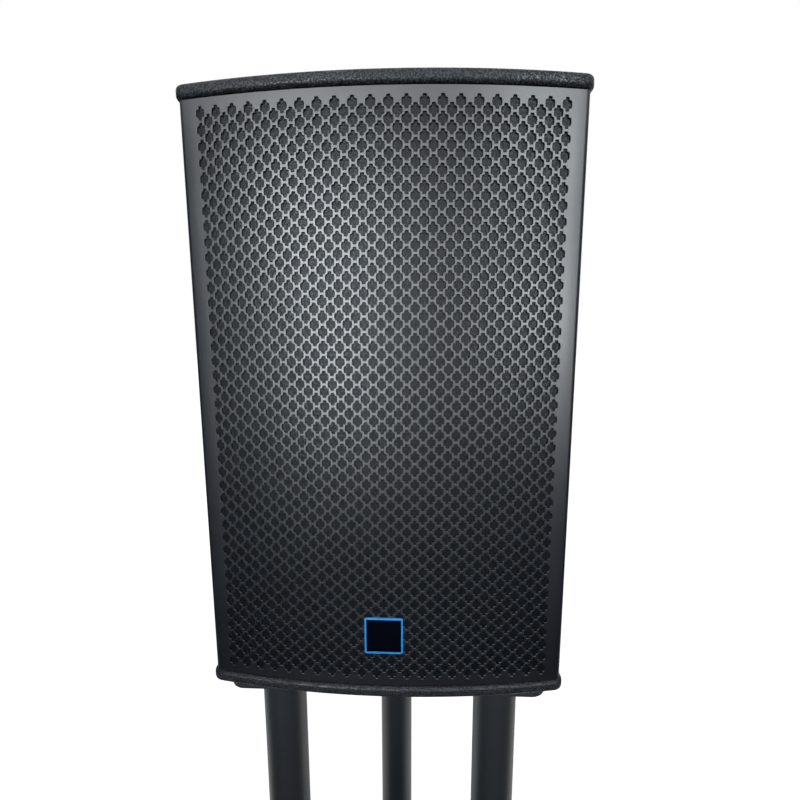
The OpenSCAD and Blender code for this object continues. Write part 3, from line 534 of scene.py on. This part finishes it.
class LOUDSPEAKER_OT_foam(bpy.types.Operator):
    """Makes the foam sheet behind the grille, with its pitted face"""
    bl_idname = "loudspeaker.foam"
    bl_label = "Foam"

    def execute(self, context):
        low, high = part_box("grille_foam")
        radius = context.scene.loudspeaker_grille.bow - (low.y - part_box("grille")[0].y)
        bow_y = low.y + radius
        half_a = math.asin(high.x / radius)
        half_h, middle = (high.z - low.z) / 2, (low.z + high.z) / 2
        across, up = round(2 * half_a * radius / FOAM_CELL), round(2 * half_h / FOAM_CELL)
        bm = bmesh.new()
        bmesh.ops.create_grid(bm, x_segments=across, y_segments=up, size=1)
        for vert in bm.verts:
            vert.co = (vert.co.x * half_a * radius, 0, middle + vert.co.y * half_h)
        front = bm.verts[:]
        thicken(bm, (0, FOAM_DEPTH, 0))
        for vert in front:
            vert.co.y = FOAM_SINK + PIT_DEPTH * abs(noise.noise(vert.co * (1 / PIT_WIDTH)))
        for vert in bm.verts:
            r, a = radius - vert.co.y, vert.co.x / radius
            vert.co = (r * math.sin(a), bow_y - r * math.cos(a), vert.co.z)
        bmesh.ops.recalc_face_normals(bm, faces=bm.faces)
        soften(bm, limit=60)
        made = piece("foam_sheet", bm, "loudspeaker", "foam", [open_cell_foam()], "grille_foam")
        return {"FINISHED"}


# Badge

BADGE_CORNER = 2 * MM
BADGE_EDGE = 0.25 * MM
BADGE_RIM = 1.5 * MM
# Depth of the face below the rim, and how far the wall between them slopes in
BADGE_RECESS = 0.5 * MM
BADGE_SLOPE = BADGE_RECESS / 4


class LOUDSPEAKER_OT_badge(bpy.types.Operator):
    """Makes the bare square badge with its raised coloured rim"""
    bl_idname = "loudspeaker.badge"
    bl_label = "Badge"

    def execute(self, context):
        low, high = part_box("badge")
        bm = bmesh.new()
        place = Matrix.Translation(((low.x + high.x) / 2, low.y, (low.z + high.z) / 2))
        turn = place @ Matrix.Rotation(math.pi / 2, 4, "X")
        bmesh.ops.create_grid(bm, x_segments=1, y_segments=1, size=(high.x - low.x) / 2, matrix=turn)
        bevel(bm, bm.verts[:], BADGE_CORNER, 5, affect="VERTICES")
        thicken(bm, (0, high.y - low.y, 0))
        bmesh.ops.recalc_face_normals(bm, faces=bm.faces)
        front = [f for f in bm.faces if f.normal.y < -FACING]
        bevel(bm, [e for f in front for e in f.edges], BADGE_EDGE, 2)
        front = [max((f for f in bm.faces if f.normal.y < -FACING), key=lambda f: f.calc_area())]
        bmesh.ops.inset_region(bm, faces=front, thickness=BADGE_RIM, use_even_offset=True)
        bmesh.ops.inset_region(bm, faces=front, thickness=BADGE_SLOPE, depth=-BADGE_RECESS)
        for face in bm.faces:
            face.material_index = 1
        for face in front:
            face.material_index = 0
        soften(bm, limit=40)
        piece("badge_plate", bm, "loudspeaker", "badge_plate", [gloss_acrylic(), enamel_line()], "badge")
        return {"FINISHED"}


# Cabinet

PANEL_EDGE = 4 * MM
PANEL_EDGE_STEPS = 6
# Half width and half depth of a panel's inside, where everything but its outline is dropped
PANEL_INSIDE = (130 * MM, 150 * MM)
# Edges that turn less than this are one line
STRAIGHT = math.radians(0.05)
# Radius of the hole for the pole socket's tube
SOCKET_HOLE = 20.7 * MM
SOCKET_STEPS = 48


def panel_outline(node):
    """The outline of a panel's node, cut at half its height, as one face at its foot."""
    low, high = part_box(node)
    middle = Vector((0, 0, (low.z + high.z) / 2))
    bm = bmesh.new()
    bm.from_mesh(NODES[node].data)
    bmesh.ops.remove_doubles(bm, verts=bm.verts, dist=FIELD_GAP)
    geom = bm.verts[:] + bm.edges[:] + bm.faces[:]
    bmesh.ops.bisect_plane(bm, geom=geom, plane_co=middle, plane_no=(0, 0, 1), clear_inner=True,
                           clear_outer=True)
    wide, deep = PANEL_INSIDE
    inside = [v for v in bm.verts if abs(v.co.x) < wide and abs(v.co.y) < deep]
    bmesh.ops.delete(bm, geom=inside, context="VERTS")
    bmesh.ops.remove_doubles(bm, verts=bm.verts, dist=FIELD_GAP)
    bmesh.ops.dissolve_limit(bm, angle_limit=STRAIGHT, verts=bm.verts[:], edges=bm.edges[:])
    bmesh.ops.contextual_create(bm, geom=bm.edges[:])
    bmesh.ops.translate(bm, verts=bm.verts, vec=(0, 0, low.z - middle.z))
    return bm


def cut_hole(bm, low, high, x, y, radius):
    """A round hole through a panel, from one flat face to the other."""
    rings = []
    for z in (low.z, high.z):
        level = [f for f in bm.faces if all(abs(v.co.z - z) < FIELD_GAP for v in f.verts)]
        flat = [f for f in level if abs(f.normal.z) > FACING]
        around = [e for f in flat for e in f.edges if len(e.link_faces) == 2]
        bmesh.ops.delete(bm, geom=flat, context="FACES_ONLY")
        ring = loop(bm, [(x + px, y + py, z) for px, _, py in circle(0, 0, radius, SOCKET_STEPS)])
        bmesh.ops.triangle_fill(bm, use_beauty=True, edges=around + ring)
        rings += ring
    bmesh.ops.bridge_loops(bm, edges=rings)
    bmesh.ops.recalc_face_normals(bm, faces=bm.faces)


def end_panel(name, node, hole=None):
    """A panel with rounded edges on its node's outline, and a round hole (x, y, radius) if one is given."""
    low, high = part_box(node)
    bm = panel_outline(node)
    thicken(bm, (0, 0, high.z - low.z))
    bmesh.ops.recalc_face_normals(bm, faces=bm.faces)
    rims = [e for f in bm.faces if abs(f.normal.z) > FACING for e in f.edges]
    bevel(bm, rims, PANEL_EDGE, PANEL_EDGE_STEPS)
    if hole:
        cut_hole(bm, low, high, *hole)
    soften(bm)
    return piece(name, bm, "loudspeaker", "textured_paint", [textured_paint()], node)


class LOUDSPEAKER_OT_cabinet(bpy.types.Operator):
    """Makes the two end panels and finishes the cabinet's walls"""
    bl_idname = "loudspeaker.cabinet"
    bl_label = "Cabinet"

    def execute(self, context):
        low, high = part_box("pole_socket")
        end_panel("top_end_panel", "top_panel")
        end_panel("bottom_end_panel", "bottom_panel", (0, (low.y + high.y) / 2, SOCKET_HOLE))
        dress(textured_paint(), "left_side_panel", "right_side_panel", "back_panel", "front_baffle")
        dress(sawn_spruce(), "grille_battens")
        return {"FINISHED"}


# Woofer

SECTOR_STEPS = 6
ROLL_STEPS = 12
WAVE_STEPS = 8
GASKET_STEPS = 96
GASKET_EDGE = 0.8 * MM


def ring_middle(node):
    """The middle of a ring about the woofer's axis, at a depth of 0, and the ring's outer radius."""
    low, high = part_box(node)
    return Vector(((low.x + high.x) / 2, 0, (low.z + high.z) / 2)), (high.x - low.x) / 2


def sector(profile, middle, start, turn, steps):
    """A slice of a ring: a closed profile of (radius, y) points, turned about the woofer's axis."""
    bm = bmesh.new()
    edges = loop(bm, [middle + Vector((r * math.cos(start), y, r * math.sin(start))) for r, y in profile])
    face = bmesh.ops.contextual_create(bm, geom=edges)["faces"]
    bmesh.ops.spin(bm, geom=face + edges, cent=middle, axis=(0, -1, 0), angle=turn, steps=steps)
    bmesh.ops.recalc_face_normals(bm, faces=bm.faces)
    soften(bm)
    return bm


def flexing_ring(name, node, profile, slot, material):
    """Sectors of a ring between the frame and the cone, each made as a piece without a body."""
    sectors = bpy.context.scene.loudspeaker_woofer.sectors
    middle, _ = ring_middle(node)
    turn = 2 * math.pi / sectors
    for k in range(sectors):
        bm = sector(profile, middle, k * turn, turn, SECTOR_STEPS)
        made = piece(f"{name}_{k + 1}", bm, None, slot, [material], node)
        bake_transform(made)


def surround(sizes, rubber):
    """The half-round roll between the cone and the frame, with a flat rim on both sides."""
    _, rim = ring_middle("woofer_surround")
    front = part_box("woofer_gasket")[1].y
    back = front + sizes.rubber
    turns = [math.pi * k / ROLL_STEPS for k in range(ROLL_STEPS + 1)]
    mid, outer_r, inner_r = sizes.roll_mid, sizes.roll, sizes.roll - sizes.rubber
    profile = [(sizes.lip, front)]
    profile += [(mid - outer_r * math.cos(a), front - outer_r * math.sin(a)) for a in turns]
    profile += [(rim, front), (rim, back), (mid + inner_r, back)]
    profile += [(mid + inner_r * math.cos(a), front - inner_r * math.sin(a)) for a in turns]
    profile += [(mid - inner_r, back), (sizes.lip, back)]
    flexing_ring("surround_sector", "woofer_surround", profile,
                 "gasket_rubber", rubber)


def spider(sizes):
    """The waved cloth that centres the voice coil."""
    low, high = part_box("woofer_spider")
    _, outer = ring_middle("woofer_spider")
    swing, steps = (high.y - low.y - sizes.cloth) / 2, sizes.waves * WAVE_STEPS
    wave = []
    for k in range(steps + 1):
        lift = 1 - math.cos(2 * math.pi * k / WAVE_STEPS)
        wave.append((sizes.neck + (outer - sizes.neck) * k / steps, low.y + swing * lift))
    profile = wave + [(r, y + sizes.cloth) for r, y in reversed(wave)]
    flexing_ring("spider_sector", "woofer_spider", profile,
                 "spider_cloth", resin_cloth())


def gasket(sizes, rubber):
    """The flat ring on the surround's rim, with chamfered front edges."""
    low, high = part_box("woofer_gasket")
    middle, outer = ring_middle("woofer_gasket")
    inner, edge = sizes.roll_mid + sizes.roll, GASKET_EDGE
    profile = ((inner, high.y), (inner, low.y + edge), (inner + edge, low.y), (outer - edge, low.y),
               (outer, low.y + edge), (outer, high.y))
    bm = bmesh.new()
    edges = loop(bm, [middle + Vector((r, y, 0)) for r, y in profile])
    bmesh.ops.spin(bm, geom=edges, cent=middle, axis=(0, -1, 0), angle=2 * math.pi, steps=GASKET_STEPS,
                   use_merge=True)
    bmesh.ops.remove_doubles(bm, verts=bm.verts, dist=FIELD_GAP)
    bmesh.ops.recalc_face_normals(bm, faces=bm.faces)
    soften(bm, limit=50)
    piece("gasket_ring", bm, "loudspeaker", "gasket_rubber", [rubber], "woofer_gasket")


class LOUDSPEAKER_OT_woofer(bpy.types.Operator):
    """Makes the woofer's gasket, surround and spider and finishes its other pieces"""
    bl_idname = "loudspeaker.woofer"
    bl_label = "Woofer"

    def execute(self, context):
        sizes = context.scene.loudspeaker_woofer
        rubber = butyl_rubber()
        surround(sizes, rubber)
        spider(sizes)
        gasket(sizes, rubber)
        dress(basket_enamel(), "woofer_frame")
        dress(paper_pulp(), "woofer_cone", "woofer_dust_cap")
        dress(copper_winding(), "woofer_voice_coil", "crossover_inductors")
        dress(zinc_plate(), "woofer_top_plate", "woofer_back_plate", "driver_bolts", "top_plate_bolts",
              "base_plate_bolts", "top_plugs", "base_plugs", "input_jack", "link_jack")
        dress(ground_ferrite(), "woofer_magnet", "driver_body")
        dress(black_zinc(), "woofer_screws", "horn_screws", "grille_screws", "terminal_screws",
              "handle_screws", "pole_socket_screws", "cabinet_foot_screws", "base_foot_screws")
        return {"FINISHED"}


# Other pieces

class LOUDSPEAKER_OT_horn(bpy.types.Operator):
    """Finishes the horn, its driver, the ports and the other moulded pieces"""
    bl_idname = "loudspeaker.horn"
    bl_label = "Horn and ports"

    def execute(self, context):
        dress(moulded_abs(), "horn", "driver_cover", "left_port_tube", "right_port_tube", "left_handle",
              "right_handle", "pole_socket")
        dress(diaphragm_film(), "driver_diaphragm")
        return {"FINISHED"}


class LOUDSPEAKER_OT_crossover(bpy.types.Operator):
    """Finishes the crossover's board, stand-offs and capacitors"""
    bl_idname = "loudspeaker.crossover"
    bl_label = "Crossover"

    def execute(self, context):
        dress(solder_mask(), "crossover_board")
        dress(turned_brass(), "crossover_standoffs")
        dress(shrunk_sleeve(), "crossover_capacitors")
        return {"FINISHED"}


class LOUDSPEAKER_OT_fittings(bpy.types.Operator):
    """Finishes the terminal plate and the rubber feet"""
    bl_idname = "loudspeaker.fittings"
    bl_label = "Fittings"

    def execute(self, context):
        dress(plate_enamel(), "terminal_plate")
        dress(foot_rubber(), "cabinet_feet", "base_feet")
        return {"FINISHED"}


class LOUDSPEAKER_OT_stand(bpy.types.Operator):
    """Coats the stand's plates and columns"""
    bl_idname = "loudspeaker.stand"
    bl_label = "Stand"

    def execute(self, context):
        dress(fine_powder_coat(), "stand_top_plate", "stand_base_plate", "left_column", "right_column",
              "rear_column")
        return {"FINISHED"}


# Stage

# Camera: place in metres, then turn to the right, down and sideways in degrees
CAMERA = (0.03487, -0.58508, 1.10665)
CAMERA_TURN = (-2.4057, 8.0626, -0.1587)
# Width of the camera's sensor in millimetres
SENSOR = 36
COOL, WHITE = "#edf6fc", "#ffffff"
# Point on the grille that the front softboxes are aimed at
FRONT = (0, -0.16, 1.1)
# Softboxes: name, place, point aimed at, width, height, power in watts, spread in degrees, colour
LAMPS = (
    ("main_softbox", (1.16, -2.02, 2.08), FRONT, 0.8, 0.5, 10.5, 180, COOL),
    ("left_softbox", (-0.94, -2.27, 1.76), FRONT, 0.8, 0.5, 1.0, 40, COOL),
    ("middle_softbox", (-0.32, -2.44, 1.76), FRONT, 0.8, 0.5, 0.58, 40, COOL),
    ("right_softbox", (1.27, -2.19, 1.27), FRONT, 0.8, 0.5, 0.74, 40, COOL),
    ("low_softbox", (-0.66, -2.46, 0.97), FRONT, 0.8, 0.5, 1.1, 40, COOL),
    ("top_softbox", (0, -0.9, 3.0), (0, -0.15, 1.2), 1.2, 0.8, 4, 180, COOL),
    ("side_softbox", (2.2, 0.9, 1.6), (0, 0, 0.8), 0.8, 1.6, 6, 180, WHITE),
    ("rear_softbox", (-1.6, 2.2, 1.9), (0, 0, 0.8), 1.2, 1.6, 12, 180, WHITE),
)
# Strength of the white surroundings as a light
ROOM_LIGHT = 0.08
# Distances from the middle between which the floor pales, and its share of white up to there
PALE_FROM, PALE_TO = 0.8, 5
PALE_SHARE = 0.85
PAPER_ROUGHNESS = 0.9
# Height of the black screen's lower edge
SCREEN_LOW = 20 * MM


def upright(x, near, far, top):
    """The corners of one upright sheet of the screen."""
    return (x, near, SCREEN_LOW), (x, far, SCREEN_LOW), (x, far, top), (x, near, top)


# The screen's sheets: one on the floor, and a tall and a low one at each side
SCREEN = (
    ((-3, -3.2, SCREEN_LOW), (3, -3.2, SCREEN_LOW), (3, -0.1, SCREEN_LOW), (-3, -0.1, SCREEN_LOW)),
    upright(-1, -1.25, 0.8, 1.8),
    upright(-1, -2.4, -1.25, 0.7),
    upright(1, -0.9, 0.4, 1.8),
    upright(1, -2.4, -0.9, 0.7),
)


def place_camera(scene):
    """Sets up the camera."""
    yaw, pitch, roll = (math.radians(a) for a in CAMERA_TURN)
    ahead = Vector((math.sin(yaw) * math.cos(pitch), math.cos(yaw) * math.cos(pitch), -math.sin(pitch)))
    level = Vector((math.cos(yaw), -math.sin(yaw), 0))
    plumb = level.cross(ahead)
    right = math.cos(roll) * level + math.sin(roll) * plumb
    up = math.cos(roll) * plumb - math.sin(roll) * level
    lens = bpy.data.cameras.new("camera")
    lens.lens = scene.loudspeaker_stage.lens
    lens.sensor_width = SENSOR
    camera = bpy.data.objects.new("camera", lens)
    camera.matrix_world = Matrix.Translation(CAMERA) @ Matrix((right, up, -ahead)).transposed().to_4x4()
    scene.collection.objects.link(camera)
    scene.camera = camera


def place_softboxes(scene):
    """Sets up the softboxes, each turned to the point that it is aimed at."""
    for name, place, aim, width, height, power, spread, code in LAMPS:
        lamp = bpy.data.lights.new(name, "AREA")
        lamp.shape, lamp.size, lamp.size_y = "RECTANGLE", width, height
        lamp.energy, lamp.color, lamp.spread = power, linear(code)[:3], math.radians(spread)
        box = bpy.data.objects.new(name, lamp)
        facing = (Vector(aim) - Vector(place)).to_track_quat("-Z", "Y").to_matrix().to_4x4()
        box.matrix_world = Matrix.Translation(place) @ facing
        scene.collection.objects.link(box)


def seen(tree):
    """1 for rays from the camera and those that metal and glass send on, else 0."""
    path = add(tree, "ShaderNodeLightPath").outputs
    rays = {0: path["Is Camera Ray"], 1: path["Is Glossy Ray"]}
    first = add(tree, "ShaderNodeMath", rays, operation="ADD", use_clamp=True)
    rays = {0: first.outputs[0], 1: path["Is Transmission Ray"]}
    return add(tree, "ShaderNodeMath", rays, operation="ADD", use_clamp=True).outputs[0]


def set_room(scene):
    """White surroundings that light the object only weakly."""
    world = bpy.data.worlds.new("white_room")
    world.use_nodes = True
    scene.world = world
    tree = world.node_tree
    tree.nodes.clear()
    shows = seen(tree)
    dim = add(tree, "ShaderNodeBackground", {"Color": linear(WHITE), "Strength": ROOM_LIGHT})
    white = add(tree, "ShaderNodeBackground", {"Color": linear(WHITE), "Strength": 1.0})
    both = add(tree, "ShaderNodeMixShader", {0: shows, 1: dim.outputs[0], 2: white.outputs[0]})
    add(tree, "ShaderNodeOutputWorld", {"Surface": both.outputs[0]})


def paper_sweep():
    """Matt white paper that pales to the white of the surroundings."""
    paper = bpy.data.materials.new("paper_sweep")
    paper.use_nodes = True
    tree = paper.node_tree
    shader = tree.nodes["Principled BSDF"]
    shader.inputs["Base Color"].default_value = linear("#f2f2f0")
    shader.inputs["Roughness"].default_value = PAPER_ROUGHNESS
    shader.inputs["Emission Color"].default_value = linear(WHITE)
    spot = add(tree, "ShaderNodeTexCoord").outputs["Object"]
    away = add(tree, "ShaderNodeVectorMath", {0: spot}, operation="LENGTH").outputs["Value"]
    pale = {"Value": away, "From Min": PALE_FROM, "From Max": PALE_TO, "To Min": PALE_SHARE}
    fade = add(tree, "ShaderNodeMapRange", pale)
    glow = add(tree, "ShaderNodeMath", {0: seen(tree), 1: fade.outputs[0]}, operation="MULTIPLY")
    tree.links.new(glow.outputs[0], shader.inputs["Emission Strength"])
    return paper


def lay_floor(scene):
    """The pale floor."""
    bm = bmesh.new()
    bmesh.ops.create_grid(bm, x_segments=1, y_segments=1, size=scene.loudspeaker_stage.floor / 2)
    floor = mesh_object("floor", bm, [paper_sweep()])


def hang_screen():
    """The black screen, seen in reflections alone: it keeps the floor's white out of the lower half."""
    bm = bmesh.new()
    for sheet in SCREEN:
        bmesh.ops.contextual_create(bm, geom=loop(bm, sheet))
    flag = mesh_object("flag", bm, [black_velvet()])
    flag.visible_camera = flag.visible_diffuse = flag.visible_shadow = flag.visible_transmission = False


class LOUDSPEAKER_OT_stage(bpy.types.Operator):
    """Sets up the camera, the softboxes, the white surroundings, the pale floor and the black screen"""
    bl_idname = "loudspeaker.stage"
    bl_label = "Stage"

    def execute(self, context):
        scene = context.scene
        scene.view_settings.view_transform = "Standard"
        place_camera(scene)
        place_softboxes(scene)
        set_room(scene)
        lay_floor(scene)
        hang_screen()
        return {"FINISHED"}


PIECES = (LOUDSPEAKER_OT_stage, LOUDSPEAKER_OT_grille, LOUDSPEAKER_OT_foam, LOUDSPEAKER_OT_badge,
          LOUDSPEAKER_OT_cabinet, LOUDSPEAKER_OT_woofer, LOUDSPEAKER_OT_horn, LOUDSPEAKER_OT_crossover,
          LOUDSPEAKER_OT_fittings, LOUDSPEAKER_OT_stand)


class LOUDSPEAKER_PT_pieces(bpy.types.Panel):
    """Lists the pieces that can be made"""
    bl_idname = "LOUDSPEAKER_PT_pieces"
    bl_label = "Loudspeaker"
    bl_space_type = "VIEW_3D"
    bl_region_type = "UI"
    bl_category = "Loudspeaker"

    def draw(self, context):
        for kind in PIECES:
            self.layout.operator(kind.bl_idname)


CLASSES = (GrilleSizes, WooferSizes, Colours, StageSizes) + PIECES + (LOUDSPEAKER_PT_pieces,)


def register():
    for kind in CLASSES:
        bpy.utils.register_class(kind)
    bpy.types.Scene.loudspeaker_grille = PointerProperty(type=GrilleSizes)
    bpy.types.Scene.loudspeaker_woofer = PointerProperty(type=WooferSizes)
    bpy.types.Scene.loudspeaker_colours = PointerProperty(type=Colours)
    bpy.types.Scene.loudspeaker_stage = PointerProperty(type=StageSizes)


def unregister():
    for name in ("loudspeaker_grille", "loudspeaker_woofer", "loudspeaker_colours", "loudspeaker_stage"):
        delattr(bpy.types.Scene, name)
    for kind in reversed(CLASSES):
        bpy.utils.unregister_class(kind)


def main():
    register()
    for kind in PIECES:
        group, name = kind.bl_idname.split(".")
        getattr(getattr(bpy.ops, group), name)()


if __name__ == "__main__":
    main()
